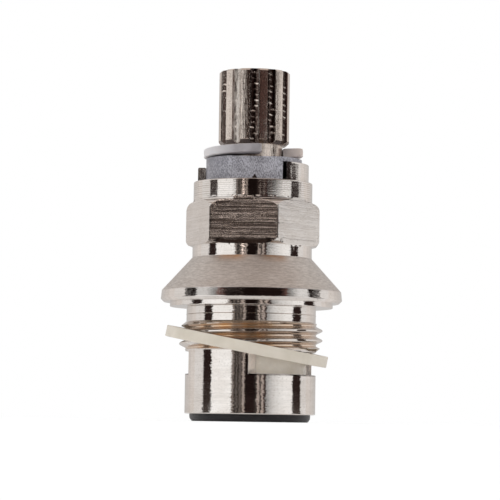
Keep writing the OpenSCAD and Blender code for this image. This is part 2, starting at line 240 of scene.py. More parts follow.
hex_half, hex_corner, hex_turned_r, bevel_r = 10.85, -9.0, 12.51, 12.53
low_bevel, high_bevel = 1.3, 1.7
front_flat = (hex_corner - 120, hex_corner - 60)
window_face, window_angle = 6.83, -36.0
lug_r, guide_r = 10.3, 8.9
stop_lug, stop_top = (-49.0, -4.0), 47.55
guide_lug, guide_top = (131.0, 176.0), 47.0
ear_half, ear_reach = 2.05, 11.149
step_gap, weld_gap = 0.04, 0.0002


def turns(count, marks=(), steps=()):
    """Column angles from 0 to 360 degrees: an even count, plus one column at each mark, plus a pair of
    columns a hair apart at each step, where a wall stands up between them."""
    even = np.linspace(0, 360, count + 1)
    marks = np.mod(np.asarray(marks, float), 360)
    steps = np.mod(np.asarray(steps, float), 360)
    special = np.concatenate([marks, steps])
    near = np.abs(even[:, None] - special[None]).min(1) < 180 / count
    near[[0, -1]] = False
    return np.unique(np.concatenate([even[~near], marks, steps - step_gap / 2, steps + step_gap / 2]))


def inside(angle, start, end):
    """True for the angles that lie in the arc from start to end, in degrees."""
    return np.mod(angle - start, 360) < np.mod(end - start, 360)


def both_ends(middle, half):
    """The ends of an arc that reaches half each way from its middle, and of the arc opposite, in degrees."""
    return [middle + across + way * half for across in (0, 180) for way in (-1, 1)]


def grid_faces(grid):
    """The faces of a grid of points, each as four point numbers, where the last row joins the first."""
    index = np.arange(grid.size).reshape(grid.shape)
    ring = np.vstack([index, index[:1]])
    return np.stack([ring[:-1, :-1], ring[:-1, 1:], ring[1:, 1:], ring[1:, :-1]], -1)


def skin(name, radius, angle, height, dropped=None, extra=None, sharp=26, tints=None):
    """A closed skin over a grid of rows round the section and columns round the axis, in millimetres: the
    point is (radius cos angle, radius sin angle, height). The last row joins the first, columns meet by
    welding. dropped marks cells that are left open, extra adds faces by their point numbers, and tints are
    values painted on the points."""
    bow = np.radians(angle)
    points = np.stack([radius * np.cos(bow), radius * np.sin(bow), height], -1).reshape(-1, 3) * MM
    quads = grid_faces(radius)
    if dropped is not None:
        quads = quads[~dropped]
    quads = quads.reshape(-1, 4)
    if extra is not None:
        quads = np.vstack([quads, extra])
    mesh = bpy.data.meshes.new(name)
    mesh.from_pydata(points.tolist(), [], quads.tolist())
    for tint, values in (tints or {}).items():
        layer = mesh.attributes.new(tint, "FLOAT", "POINT")
        layer.data.foreach_set("value", values.astype(np.float32).ravel())
    return close_skin(mesh, sharp)


def close_skin(mesh, sharp):
    """Welds doubled points, turns all faces outwards, and keeps edges sharper than the angle crisp."""
    work = bmesh.new()
    work.from_mesh(mesh)
    bmesh.ops.remove_doubles(work, verts=work.verts, dist=weld_gap * MM)
    bmesh.ops.recalc_face_normals(work, faces=work.faces)
    work.to_mesh(mesh)
    work.free()
    mesh.polygons.foreach_set("use_smooth", np.ones(len(mesh.polygons), bool))
    mesh.set_sharp_from_angle(angle=math.radians(sharp))
    mesh.update()
    made = bpy.data.objects.new(mesh.name, mesh)
    bpy.context.scene.collection.objects.link(made)
    return made


window_half_out = math.degrees(math.acos(window_face / barrel_r))
window_half_in = math.degrees(math.acos(window_face / chamber_r))
ear_edge = math.degrees(math.atan(ear_half / ear_reach))
ear_foot = math.degrees(math.asin(ear_half / chamber_r))
window_marks = both_ends(window_angle, window_half_out)
ear_marks = both_ends(window_angle + 90, ear_edge) + both_ends(window_angle + 90, ear_foot)
corner_marks = [hex_corner + 60 * k for k in range(6)]
turn = turns(432, window_marks + ear_marks + corner_marks, [*stop_lug, *guide_lug])
ones = np.ones_like(turn)

# hexagon radius for each column: half the flats over the cosine of the angle from the flat's middle, and no
# more than the turned corners
hex_r = np.minimum(hex_half / np.cos(np.radians(np.mod(turn - hex_corner, 60) - 30)), hex_turned_r)
body_rows = []


def body_row(r, z, a=turn):
    """One row of the body's grid: radius, angle and height for every column."""
    body_rows.append((r * ones, a * ones, z * ones))


def rounded(points, steps=4, hold=0.03):
    """A turned profile through (radius, height, fillet) points: each corner becomes an arc of that fillet
    radius, with a row a little way before and after it that keeps the straight parts straight."""
    made = []
    for k, (r, z, fillet) in enumerate(points):
        here = np.array([r, z])
        if fillet == 0 or k in (0, len(points) - 1):
            made.append(here)
            continue
        back = np.array(points[k - 1][:2]) - here
        on = np.array(points[k + 1][:2]) - here
        lengths = np.hypot(*back), np.hypot(*on)
        back, on = back / lengths[0], on / lengths[1]
        half = math.acos(np.clip(back @ on, -1, 1)) / 2
        reach = min(fillet / math.tan(half), 0.45 * min(lengths))
        middle = here + (back + on) / np.hypot(*(back + on)) * reach / math.cos(half)
        swing = np.linspace(0, 1, steps + 1)[:, None]
        spoke_in, spoke_out = here + back * reach - middle, here + on * reach - middle
        wedge = math.pi - 2 * half
        arc = (np.sin((1 - swing) * wedge) * spoke_in + np.sin(swing * wedge) * spoke_out) / math.sin(wedge)
        made += [here + back * (reach + hold), *(middle + arc), here + on * (reach + hold)]
    return made


def body_profile(*points):
    """Turned rows through the given (radius, height, fillet) points."""
    for r, z in rounded(points):
        body_row(r, z)


body_profile((pocket_r, z_barrel, 0), (barrel_r, z_barrel, 0.16), (barrel_r, z_window - 0.3, 0),
             (barrel_r, z_window - 0.22, 0), (barrel_r, z_window - 0.12, 0))
window_steps = 4
window_row = len(body_rows)
for z in np.linspace(z_window, z_window_top, window_steps + 1):
    body_row(barrel_r, z)
body_row(barrel_r, z_thread)

# thread: on each column the rows follow the helix, and the radius is a rounded V of the distance from the
# groove's middle, cut down by the two end bevels
rows_per_pitch = 16
groove_mid, root_half, crest_half, end_bevel = 12.386, thread_pitch / 12, 0.7558, thread_depth * 0.85
thread_rows = int(math.ceil((z_relief - z_thread) / thread_pitch + 1.5)) * rows_per_pitch
thread_first = len(body_rows)
for step in np.arange(thread_rows + 1) / rows_per_pitch:
    z = groove_mid - thread_pitch + thread_pitch * (step + turn / 360)
    z = np.where(z > z_relief - 0.06, z_relief, np.where(z < z_thread + 0.06, z_thread, z))
    off = np.abs(np.mod((z - groove_mid) / thread_pitch - turn / 360 + 0.5, 1) - 0.5) * thread_pitch
    crest = np.clip((off - root_half) / (crest_half - root_half), 0, 1)
    crest = crest * crest * (3 - 2 * crest) * 0.25 + crest * 0.75
    low_end = barrel_r + (thread_r - barrel_r) * (z - z_thread) / end_bevel
    high_end = relief_r + (thread_r - relief_r) * (z_relief - z) / end_bevel
    body_row(np.minimum(np.minimum(root_r + thread_depth * crest, low_end), high_end), z)
on_thread = slice(thread_first, len(body_rows))

rim_top_r = flange_r - 0.16
body_profile((relief_r, z_relief, 0), (relief_r, z_ridge - 0.07, 0.02), (relief_r + 0.09, z_ridge, 0.03),
             (relief_r, z_ridge + 0.07, 0.02), (relief_r, z_step, 0.12), (step_r, z_step, 0.12),
             (step_r, z_flange, 0.05), (flange_r - 0.55, z_flange, 0.1), (flange_r, z_rim, 0.12),
             (rim_top_r + 0.01, z_cone - 0.1, 0))
cone_first = len(body_rows)
cone_points = [(rim_top_r + (neck_r - rim_top_r) * share, z_cone + (z_neck - z_cone) * share, 0)
               for share in np.linspace(0.1, 0.97, 10)]
body_profile((rim_top_r + 0.008, z_cone - 0.08, 0), (rim_top_r, z_cone, 0.09), *cone_points,
             (neck_r, z_neck, 0.1), (neck_r, z_neck + 0.12, 0))
on_cone = slice(cone_first, len(body_rows) - 3)

# hexagon: the rows run along the curves where the rounded turned bevels cross the flats, and the cutter has
# left torn burrs on the flats' lower edges and on the collar's lower edge
torn = np.random.default_rng(5)


def burr(count, height, wide, torn_at):
    """A ragged lip round the axis: count sharp humps at random angles, each some degrees wide, and the
    highest ones at the angles where the cutter tore the edge."""
    at = np.concatenate([torn.uniform(0, 360, count), torn_at])
    tall = np.concatenate([torn.uniform(0.25, 1.0, count) ** 2, np.ones(len(torn_at))]) * height
    off = np.mod(turn[:, None] - at + 180, 360) - 180
    return (tall * np.exp(-(off / wide) ** 2)).sum(1) * (np.abs(turn - 180) < 179)


def bevel_drop(r, foot, tall):
    """How far a rounded bevel has dropped at radius r: a quarter ellipse from the foot to the corner."""
    share = np.clip((r - foot) / (bevel_r - foot), 0, 1)
    return tall * (1 - np.sqrt(1 - share ** 2))


has_bevel = hex_r > collar_r
low_cross = z_hex + bevel_drop(hex_r, neck_r, low_bevel)
high_cross = np.where(has_bevel, z_collar - bevel_drop(hex_r, collar_r, high_bevel), z_flats_end)
low_foot, high_foot = np.minimum(hex_r, neck_r), np.minimum(hex_r, collar_r)
bevel_steps = np.sin(np.linspace(0, 1, 9) * math.pi / 2)
neck_lip = burr(30, 0.2, 0.6, (-116.5, -115.2, -113.9, -112.8, -84.5, -82.9, -81.8, -75))
neck_lip = np.where(hex_r < neck_r + 0.2, neck_lip, 0.0)
body_row(neck_r, z_hex - 0.3)
body_row(neck_r + 0.35 * neck_lip, z_hex - 0.1)
body_row(neck_r + neck_lip, z_hex + 0.7 * neck_lip)
body_row(low_foot, z_hex)
for share in bevel_steps[1:-1]:
    r = low_foot + (hex_r - low_foot) * share
    body_row(r, z_hex + bevel_drop(r, neck_r, low_bevel))
flat_first = len(body_rows)
cove, cove_tall = np.clip((neck_r + 1.0 - hex_r) / 0.5, 0, 1) * 0.2, 1.1
for up in (0, 0.12, 0.24, 0.36, 0.48, 0.62, 0.78, 0.95, cove_tall):
    body_row(hex_r + cove * (1 - up / cove_tall) ** 2, low_cross + up)
in_cove = slice(flat_first, len(body_rows) - 3)
nick = np.clip(1 - np.abs(np.mod(turn - front_flat[1] + 180, 360) - 180) / 1.6, 0, 1)
for share in (0.16, 0.24, 0.32, 0.4, 0.44, 0.46, 0.475, 0.49, 0.51, 0.56, 0.64, 0.72, 0.8, 0.88, 0.97):
    bite = 0.3 * nick if 0.455 < share < 0.5 else 0.0
    body_row(hex_r - bite, low_cross + (high_cross - low_cross) * share)
on_flats = slice(flat_first, len(body_rows))
collar_first = len(body_rows)
for share in bevel_steps[::-1]:
    r = high_foot + (hex_r - high_foot) * share
    body_row(r, np.where(has_bevel, z_collar - bevel_drop(r, collar_r, high_bevel), z_flats_end))
lip = np.where(has_bevel, 0.09, 0.0)
for out, up in ((0, 0.03), (0.6, 0.06), (1, 0.13), (0.8, 0.2), (0.2, 0.26), (0, 0.32)):
    body_row(high_foot + out * lip, np.where(has_bevel, z_collar + up, z_flats_end))
body_row(high_foot, z_flats_end)
collar_burr = burr(26, 0.16, 0.8, (-101.5, -100.6, -99.4, -86.4, -85.2, -84))
body_row(collar_r + collar_burr, z_flats_end + 0.01 - 0.6 * collar_burr)
body_row(collar_r, z_flats_end + 0.14)
body_profile((collar_r, z_flats_end + 0.2, 0), (collar_r, z_top, 0.2), (lug_r, z_top, 0))
on_collar = slice(collar_first, len(body_rows))

# top: each lug stands up between a pair of columns a hair apart, and the stop lug's near edge is chipped
lug_first = len(body_rows)
on_stop = inside(turn, *stop_lug)
on_guide = inside(turn, *guide_lug)


def lug_row(r, stop_z, guide_z):
    """A row across the top: stop_z on the stop lug, guide_z on the guide lug, the collar's top elsewhere."""
    body_row(r, np.where(on_stop, stop_z, np.where(on_guide, guide_z, z_top)))


lug_row(lug_r, z_top, z_top)
near_edge = np.exp(-((turn - 360 - stop_lug[0]) / 0.9) ** 2)
for share in np.linspace(0.04, 1, 22):
    chipped = near_edge * torn.uniform(0, 1) ** 3 * 0.28
    lug_row(lug_r - chipped, z_top + (stop_top - 0.14 - z_top) * share,
            z_top + (guide_top - 0.3 - z_top) * share)
for r, stop_z, guide_z in (
        (lug_r - 0.04, stop_top - 0.04, guide_top - 0.1), (lug_r - 0.14, stop_top, guide_top),
        (guide_r + 0.1, stop_top, guide_top), (guide_r, stop_top, guide_top - 0.1),
        (guide_r, stop_top, z_top), (stem_bore_r + 0.08, stop_top, z_top),
        (stem_bore_r, stop_top - 0.08, z_top - 0.08)):
    lug_row(r, stop_z, guide_z)
on_lugs = slice(lug_first, len(body_rows))
body_profile((stem_bore_r, z_top - 0.1, 0), (stem_bore_r, z_shoulder, 0))

# chamber: its columns lean so that each window's cut face is one flat plane between the two walls, and below
# the windows it has two slots for the fixed disc's ears
lean = np.mod(turn - window_angle + 90, 180) - 90
beside = 90 - (90 - np.abs(lean)) * (90 - window_half_in) / (90 - window_half_out)
inner_lean = np.where(np.abs(lean) < window_half_out, lean * window_half_in / window_half_out,
                      np.sign(lean) * beside)
inner_turn = turn + inner_lean - lean
body_row(chamber_r, z_shoulder, inner_turn)
inner_row = len(body_rows)
for z in np.linspace(z_window_top, z_window, window_steps + 1):
    body_row(chamber_r, z, inner_turn)
ear_off = np.abs(np.mod(inner_turn - window_angle, 180) - 90)
ear_wall = np.where(ear_off < ear_edge, ear_reach / np.cos(np.radians(ear_off)),
                    ear_half / np.sin(np.radians(np.maximum(ear_off, 0.1))))
ear_r = np.where(ear_off < ear_foot, np.maximum(ear_wall, chamber_r), chamber_r)
body_row(chamber_r, z_ear_top, inner_turn)
body_row(ear_r, z_ear_top, inner_turn)
body_row(ear_r, z_pocket, inner_turn)
body_row(pocket_r, z_pocket, inner_turn)
body_row(pocket_r, z_pocket - 0.05)

# windows: the cells of both walls are left open, and faces join the two edges as sill, head and cheeks
def bridge(outer, inner, here, there):
    """Faces that join neighbouring points of the outer wall's edge to those of the inner wall's."""
    return np.stack([outer[here], outer[there], inner[there], inner[here]], -1)


body_r, body_a, body_z = (np.stack([row[k] for row in body_rows]) for k in range(3))
in_window = np.abs(lean) < window_half_out + 0.001
open_cell = in_window[:-1] & in_window[1:] & (np.abs(lean[:-1] - lean[1:]) < 90)
dropped = np.zeros((len(body_rows), len(turn) - 1), bool)
dropped[window_row:window_row + window_steps] = open_cell
dropped[inner_row:inner_row + window_steps] = open_cell
number = np.arange(body_r.size).reshape(body_r.shape)
outer_wall = number[window_row:window_row + window_steps + 1]
inner_wall = number[inner_row:inner_row + window_steps + 1][::-1]
cell = np.nonzero(open_cell)[0]
rung = np.arange(window_steps)
window_ends = [np.abs(turn - mark % 360).argmin() for mark in window_marks]
window_faces = np.vstack([bridge(outer_wall[0], inner_wall[0], cell, cell + 1),
                          bridge(outer_wall[-1], inner_wall[-1], cell + 1, cell),
                          *(bridge(outer_wall[:, e], inner_wall[:, e], rung, rung + 1) for e in window_ends)])

# tints: where a gold reflection is painted in the thread's roots, where the plate is milled, satin, coarsely
# turned, coppery or freshly cut, where it is dirty or in painted shade, and where it is chattered
plate_tints = ("thread_root_painted_reflection", "milled", "satin", "coarse", "copper", "cut", "grime_and_shade", "chatter")
tints = {tint: np.zeros(body_r.shape) for tint in plate_tints}
from_front = np.mod(body_a + 270, 360) - 180
thread_ends = np.minimum(z_relief - body_z, body_z - z_thread)[on_thread]
# a gold reflection painted into the thread's roots, strongest towards the front
tints["thread_root_painted_reflection"][on_thread] = np.clip((thread_r - body_r[on_thread]) / thread_depth, 0, 1)
tints["thread_root_painted_reflection"][on_thread] *= np.clip(thread_ends / 0.3, 0, 1)
tints["thread_root_painted_reflection"] *= 0.4 + 0.6 * np.exp(-((from_front + 15) / 46) ** 2)
back_flats = inside(turn, hex_corner, hex_corner + 180)
tints["milled"][on_flats] = np.where(inside(turn, *front_flat), 1.0, np.where(back_flats, 0.5, 0.25))
tints["satin"][on_cone] = 1
tints["coarse"][on_collar] = 1
tints["coarse"][on_lugs] = 0.15
for at, wide in ((-26, 7), (-14, 9), (17, 8), (26, 6)):
    tints["copper"][on_cone] += np.exp(-((from_front[on_cone] - at) / wide) ** 2)
tints["copper"][on_cone] *= np.clip((body_z[on_cone] - z_neck + 1.5) / 1.4, 0, 1) ** 1.5
tints["copper"] = np.clip(tints["copper"], 0, 1)
grime_and_shade = tints["grime_and_shade"]
for first in (window_row, inner_row):
    tints["cut"][first:first + window_steps + 1, window_ends] = 1
    grime_and_shade[first:first + window_steps + 1, window_ends[1]] = 0.6
# painted shade: a dark line along the window sills, under the disc
grime_and_shade[window_row - 2:window_row + 1, in_window] = (0.5,), (0.9,), (1.0,)
# painted shade at the foot of the front flat, in its cove
grime_and_shade[in_cove] = 1.8 * np.minimum(1, cove / 0.1) * inside(turn, *front_flat)
# painted shade on the lugs' ends, darkest on the stop lug's near edge; the guide lug is darker all over
lug_ends = np.mod(turn[:, None] - np.array([*guide_lug, stop_lug[0]]), 360)
lug_ends = np.minimum(lug_ends, 360 - lug_ends).min(1) < 0.03
grime_and_shade[on_lugs, lug_ends] = 0.7
grime_and_shade[on_lugs, np.abs(turn - stop_lug[0] - 360) < 0.03] = 1.6
grime_and_shade[on_lugs, np.abs(turn - stop_lug[0] - 361) < 0.9] = 0.8
grime_and_shade[on_lugs, on_guide] = 0.4
tints["chatter"][on_lugs, np.abs(turn - np.mean(guide_lug)) < 23] = 1
body = skin("body_shell", body_r, body_a, body_z, dropped, window_faces, tints=tints)


def times(first, second):
    """The product of two values."""
    return calc("MULTIPLY", first, second)


def object_place(tree):
    """The piece's own coordinates, in metres."""
    return add_node(tree, "TexCoord")["Object"]


def turned_place(tree, along, across, lean=1.0):
    """Object coordinates drawn out round the axis: slow along the turning marks, fast across them, where
    across runs with height minus radius, so marks ring a cylinder, a cone and a flat face alike. With no
    lean the marks are level, as a milling cutter leaves them."""
    x, y, z = add_node(tree, "SeparateXYZ", Vector=object_place(tree))[:3]
    radius = calc("SQRT", calc("ADD", times(x, x), times(y, y)))
    ring = calc("MULTIPLY_ADD", radius, -lean, z)
    return add_node(tree, "CombineXYZ", X=times(x, along), Y=times(y, along), Z=times(ring, across))[0]


def mix_colour(share, first, second, blend="MIX"):
    """Two colours mixed by a share; the first may come from a socket, the second is plain."""
    return add_node(tree_of(share, first), "Mix", {"data_type": "RGBA", "blend_type": blend},
                    i0=share, i6=first, i7=(*second, 1))[2]


def noise(place, detail=2.0, rough=0.5, scale=1.0):
    """Soft noise at a place."""
    return add_node(place.id_data, "TexNoise", Vector=place, Scale=scale, Detail=detail, Roughness=rough)[0]


def tint_of(tree, name):
    """The piece's own painted value of that name."""
    return add_node(tree, "Attribute", {"attribute_name": name})["Fac"]


def bumped(height, depth, strength=1.0, **more):
    """A surface normal bumped by a height that is worth depth metres at full strength."""
    return add_node(height.id_data, "Bump", Strength=strength, Distance=depth, Height=height, **more)[0]


def vector_calc(tree, operation, **sockets):
    """One vector math node."""
    return add_node(tree, "VectorMath", {"operation": operation}, **sockets)[0]


nickel_light, nickel_dark = (0.685, 0.64, 0.605), (0.625, 0.575, 0.535)


def nickel_plate(name, rough):
    """Nickel plate over turned brass: rings of turning marks, fine grain and cloudy gloss. A gold reflection
    is painted into the thread's roots, strongest towards the front, the plate is satin on the cone, coarsely
    turned on the collar, and straight cutter marks cross the milled flats. Painted shade darkens the window
    sills, the front flat's cove and the lugs' ends, and dark pitting darkens the window's right cheek."""
    made, tree, shader = start_finish(name)
    painted_root_reflection, flat, satin, coarse, copper, cut, grime_and_shade, chatter = (tint_of(tree, tint) for tint in plate_tints)
    place = object_place(tree)
    height = add_node(tree, "SeparateXYZ", Vector=place)[2]
    lines = noise(turned_place(tree, 700, 4600), 2.0, 0.55)
    cloud = noise(turned_place(tree, 260, 420), 3.0)
    grain = noise(turned_place(tree, 4200, 5200), 2.0, 0.6)
    cutter = noise(turned_place(tree, 70, 4300, 0.0), 4.0, 0.66)
    brushed = noise(turned_place(tree, 800, 2600), 4.0, 0.72)
    pits = noise(place, 3.0, 0.65, 2400.0)

    feed = calc("MAXIMUM", calc("SINE", times(height, 17000.0)), 0.0)
    feed = times(calc("POWER", feed, 3.0), coarse)
    most_milled = times(flat, flat)
    scored = calc("MULTIPLY_ADD", most_milled, 0.86, 0.05)
    plate = mix_colour(spread(cloud, 0.35, 0.68, 0.0, 1.0), (*nickel_dark, 1), nickel_light)
    for share, coat in (
            (times(feed, spread(cutter, 0.35, 0.6, 0.1, 0.6)), (0.2, 0.16, 0.13)),
            (times(spread(cutter, 0.45, 0.55, 0.0, 1.0), scored), (0.085, 0.065, 0.056)),
            (spread(grain, 0.3, 0.42, 0.35, 0.0), (0.16, 0.12, 0.1)),
            (times(satin, spread(brushed, 0.38, 0.6, 0.75, 0.0)), (0.4, 0.36, 0.33)),
            (times(most_milled, spread(grain, 0.36, 0.58, 0.6, 0.0)), (0.16, 0.13, 0.11)),
            # painted reflection: gold in the thread's roots
            (times(spread(painted_root_reflection, 0.15, 0.9, 0.0, 0.9), spread(cloud, 0.35, 0.6, 0.5, 1.0)),
             (0.64, 0.375, 0.165)),
            (times(copper, spread(cloud, 0.3, 0.6, 0.4, 1.0)), (0.62, 0.37, 0.22)),
            (times(cut, spread(pits, 0.35, 0.55, 1.0, 0.75)), (1.0, 0.87, 0.76)),
            # painted shade, and dark pitting on the window's right cheek
            (times(grime_and_shade, spread(pits, 0.42, 0.58, 1.0, 0.5)), (0.05, 0.034, 0.028))):
        plate = mix_colour(share, plate, coat)
    mirror = calc("MULTIPLY_ADD", cut, -0.95, calc("MULTIPLY_ADD", painted_root_reflection, -0.3, 1.0))
    gloss = spread(cloud, 0.3, 0.7, rough - 0.02, rough + 0.03)
    for share, more in ((flat, 0.07), (coarse, 0.02), (satin, 0.34), (cut, 0.35), (painted_root_reflection, 0.12)):
        gloss = calc("MULTIPLY_ADD", share, more, gloss)

    # each turning mark leans the plate a little to the left or right, which frays the upright reflections
    normal = add_node(tree, "NewGeometry")["Normal"]
    sideways = vector_calc(tree, "CROSS_PRODUCT", i0=(0, 0, 1), i1=normal)
    sway = calc("SUBTRACT", noise(turned_place(tree, 1400, 5600), 3.0, 0.65), 0.5)
    sway = times(sway, calc("MULTIPLY_ADD", coarse, -0.07, 0.13))
    sway = times(sway, calc("SUBTRACT", 1.0, flat))
    leaned = vector_calc(tree, "SCALE", i0=sideways, i3=sway)
    leaned = vector_calc(tree, "ADD", i0=normal, i1=leaned)
    leaned = vector_calc(tree, "NORMALIZE", i0=leaned)
    bump = bumped(lines, 3.5e-6, Normal=leaned)
    scratched = calc("MULTIPLY_ADD", coarse, 0.06, calc("MINIMUM", flat, 0.22))
    grainy = calc("MULTIPLY_ADD", calc("MAXIMUM", satin, flat), 0.8, 0.2)
    for strength, depth, relief in ((scratched, 3e-5, cutter), (cut, 2.5e-5, pits), (chatter, 1.5e-4, pits),
                                    (grainy, 1.25e-5, grain)):
        bump = bumped(relief, depth, strength, Normal=bump)
    fit(shader, Base_Color=plate, Metallic=mirror, Roughness=gloss, Normal=bump)
    return made


body.data.materials.append(nickel_plate("body_nickel", 0.06))
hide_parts("body")
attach(body, "housing")

# The base seal and its support ring: a moulded black rubber ring that is pressed into the barrel's open end
# and seals on the tap's seat, with a brass ring inside that keeps it round.
seal_in, seal_out, seal_high = 8.4, pocket_r - 0.05, 4.27


def skin_of_rows(name, angles, rows, **more):
    """A skin through rows of (radius, height), where either may differ from column to column."""
    radius, height = (np.stack([row[k] + 0 * angles for row in rows]) for k in range(2))
    return skin(name, radius, angles + 0 * radius, height, **more)


base_seal = skin_of_rows("base_seal_ring", np.linspace(0, 360, 241), rounded(
    [(9.6, 0, 0), (seal_out - 0.42, 0, 0.42), (seal_out - 0.1, 0.5, 0.2), (seal_out - 0.02, 0.62, 0.06),
     (seal_out - 0.02, 0.78, 0.06), (seal_out, 0.95, 0.2), (seal_out, seal_high, 0.15),
     (seal_in, seal_high, 0.1), (seal_in, 0, 0.3), (9.5, 0, 0)], 5, 0.02))


def ramp(value, *stops):
    """A colour ramp between two (position, colour) stops."""
    made = value.id_data.nodes.new("ShaderNodeValToRGB")
    fit(made, i0=value)
    for point, (position, colour) in zip(made.color_ramp.elements, stops):
        point.position = position
        point.color = (*colour, 1)
    return made.outputs[0]


def clouded_finish(name, low, high, gloss, cloud, grain, depth, **sockets):
    """A moulded or fired finish: two close shades in soft clouds that the gloss follows, and a fine grain.
    low and high are the ramp's stops, and cloud and grain are a noise's (detail, roughness, scale)."""
    made, tree, shader = start_finish(name)
    clouds = noise(object_place(tree), *cloud)
    fit(shader, Base_Color=ramp(clouds, low, high), Roughness=spread(clouds, 0.3, 0.7, *gloss),
        Normal=bumped(noise(object_place(tree), *grain), depth), **sockets)
    return made


# rubber: near black, half matt, with a dusty bloom and a fine skin
seal_rubber = clouded_finish(
    "seal_rubber", (0.35, (0.008, 0.006, 0.007)), (0.75, (0.022, 0.018, 0.02)), (0.34, 0.5),
    (4.0, 0.6, 700.0), (2.0, 0.5, 9000.0), 3e-6, Specular_IOR_Level=0.35)
base_seal.data.materials.append(seal_rubber)
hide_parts("base_seal")
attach(base_seal, "housing")


def dress(node, material):
    """Gives a kept CAD node its finish."""
    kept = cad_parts[node].data
    kept.materials.clear()
    kept.materials.append(material)


def brass(name):
    """Bare turned brass with faint rings and a darker patina in patches."""
    made, tree, shader = start_finish(name)
    patina = noise(turned_place(tree, 300, 500), 3.0)
    rings = noise(turned_place(tree, 60, 5000), 2.0)
    fit(shader, Base_Color=ramp(patina, (0.35, (0.46, 0.3, 0.12)), (0.7, (0.72, 0.52, 0.24))),
        Metallic=1, Roughness=spread(patina, 0.3, 0.7, 0.22, 0.36), Normal=bumped(rings, 4e-6))
    return made


dress("seal_support_ring", brass("support_brass"))

# The two ceramic discs: the fixed one is keyed in the barrel, the moving one turns on it with the spindle and
# shows in the windows. Both are sintered alumina, lapped on the mating faces, off-white and glossy.
disc_r, disc_waist, disc_low, disc_high, disc_wing, disc_bevel = 10.3, 3.4, 8.33, 12.73, 49.5, 0.12
slot_half_l, slot_half_w, slot_floor = 6.5, 1.98, 10.73
slot_corner = math.degrees(math.atan2(slot_half_w, slot_half_l))
disc_turn = turns(288, both_ends(window_angle, slot_corner), both_ends(window_angle, disc_wing))
disc_lean = np.radians(np.mod(disc_turn - window_angle + 90, 180) - 90)
wing = np.where(np.abs(disc_lean) < math.radians(disc_wing), disc_r, disc_waist)
slot_edge = np.minimum(slot_half_l / np.maximum(np.abs(np.cos(disc_lean)), 1e-3),
                       slot_half_w / np.maximum(np.abs(np.sin(disc_lean)), 1e-3))
moving_disc = skin_of_rows("moving_disc_ceramic", disc_turn, [
    (0, disc_low), (wing - disc_bevel - 0.03, disc_low), (wing - disc_bevel, disc_low),
    (wing, disc_low + disc_bevel), (wing, disc_low + disc_bevel + 0.03),
    (wing, disc_high - disc_bevel - 0.03), (wing, disc_high - disc_bevel), (wing - disc_bevel, disc_high),
    (wing - disc_bevel - 0.03, disc_high), (slot_edge, disc_high), (slot_edge, slot_floor), (0, slot_floor)])

# alumina: ivory white, faintly clouded, with light under its surface
disc_ceramic = clouded_finish(
    "disc_ceramic", (0.3, (0.83, 0.75, 0.64)), (0.7, (0.92, 0.845, 0.74)), (0.16, 0.28), (3.0, 0.55, 600.0),
    (2.0, 0.6, 6000.0), 1.5e-6, Subsurface_Weight=0.15, Subsurface_Radius=(0.0008, 0.0007, 0.0005))
moving_disc.data.materials.append(disc_ceramic)
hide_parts("moving_disc")
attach(moving_disc, "upper_disc")
dress("fixed_disc", disc_ceramic)

# The spindle: turned brass with a foot and a driving bar under it, two seal grooves, twelve milled teeth for
# the handle, and a neck groove for the clip. It is nickel plated; the cutter has left chatter in the valleys.
tooth_r, tooth_depth, tooth_angle, half_valley_angle = 6.6, 0.6, 30.0, 8.25
valley_drop = tooth_r * math.cos(math.radians(half_valley_angle)) - tooth_r + tooth_depth
valley_half = tooth_r * math.sin(math.radians(half_valley_angle))
valley_r = (valley_half ** 2 + valley_drop ** 2) / (2 * valley_drop)
valley_mid = tooth_r - tooth_depth + valley_r
z_bar, z_foot, z_foot_top = 10.86, 12.76, 14.61
bar_half_l, bar_half_w, foot_r, journal_r = 6.4, 1.95, 9.4, 6.95
seal_groove_r, seal_groove_half, seal_mids = 5.31, 1.0292, (22.42, 28.42)
z_teeth_low, z_groove, z_spline, z_end, groove_r = 43.95, 48.33, 51.03, 64.83, 5.35
tooth_foot_r, screw_r, screw_floor = 5.9, 2.1, 53.83


def tooth_outline(angle, grow=0.0):
    """Radius of the toothed stem at an angle in degrees: the tip circle, or the near side of a round valley
    whose middle lies outside the tip circle, every 30 degrees from the front."""
    off = np.radians(np.mod(angle + 90 + tooth_angle / 2, tooth_angle) - tooth_angle / 2)
    scoop = (valley_r - grow) ** 2 - (valley_mid * np.sin(off)) ** 2
    valley = valley_mid * np.cos(off) - np.sqrt(np.maximum(scoop, 0))
    return np.where(scoop > 0, np.minimum(valley, tooth_r + grow), tooth_r + grow)


spindle_turn = turns(312, [-90 + 30 * k + s * half_valley_angle for k in range(12) for s in (-1, 1)])
teeth = tooth_outline(spindle_turn)
bar_lean = np.radians(spindle_turn - window_angle)
bar_edge = np.minimum(bar_half_l, bar_half_w / np.maximum(np.abs(np.sin(bar_lean)), 1e-3))
stem_rows = [(0, z_bar), (bar_edge - 0.1, z_bar), (bar_edge, z_bar + 0.1), (bar_edge, z_foot)]
stem_rows += rounded([(foot_r - 0.5, z_foot, 0), (foot_r, z_foot, 0.12), (foot_r, z_foot_top, 0.12),
                      (journal_r, z_foot_top, 0)])
for mid in seal_mids:
    low, high = mid - seal_groove_half, mid + seal_groove_half
    stem_rows += [(journal_r, low), (seal_groove_r, low), (seal_groove_r, high), (journal_r, high)]
stem_rows += [(journal_r, z_teeth_low), (np.minimum(teeth, journal_r), z_teeth_low), (teeth, z_groove - 0.1),
              (np.minimum(teeth, 6.5), z_groove), (groove_r - 0.1, z_groove), (groove_r, z_spline),
              (np.minimum(teeth, tooth_foot_r), z_spline),
              (np.minimum(teeth, tooth_foot_r + 0.03), z_spline + 0.03)]

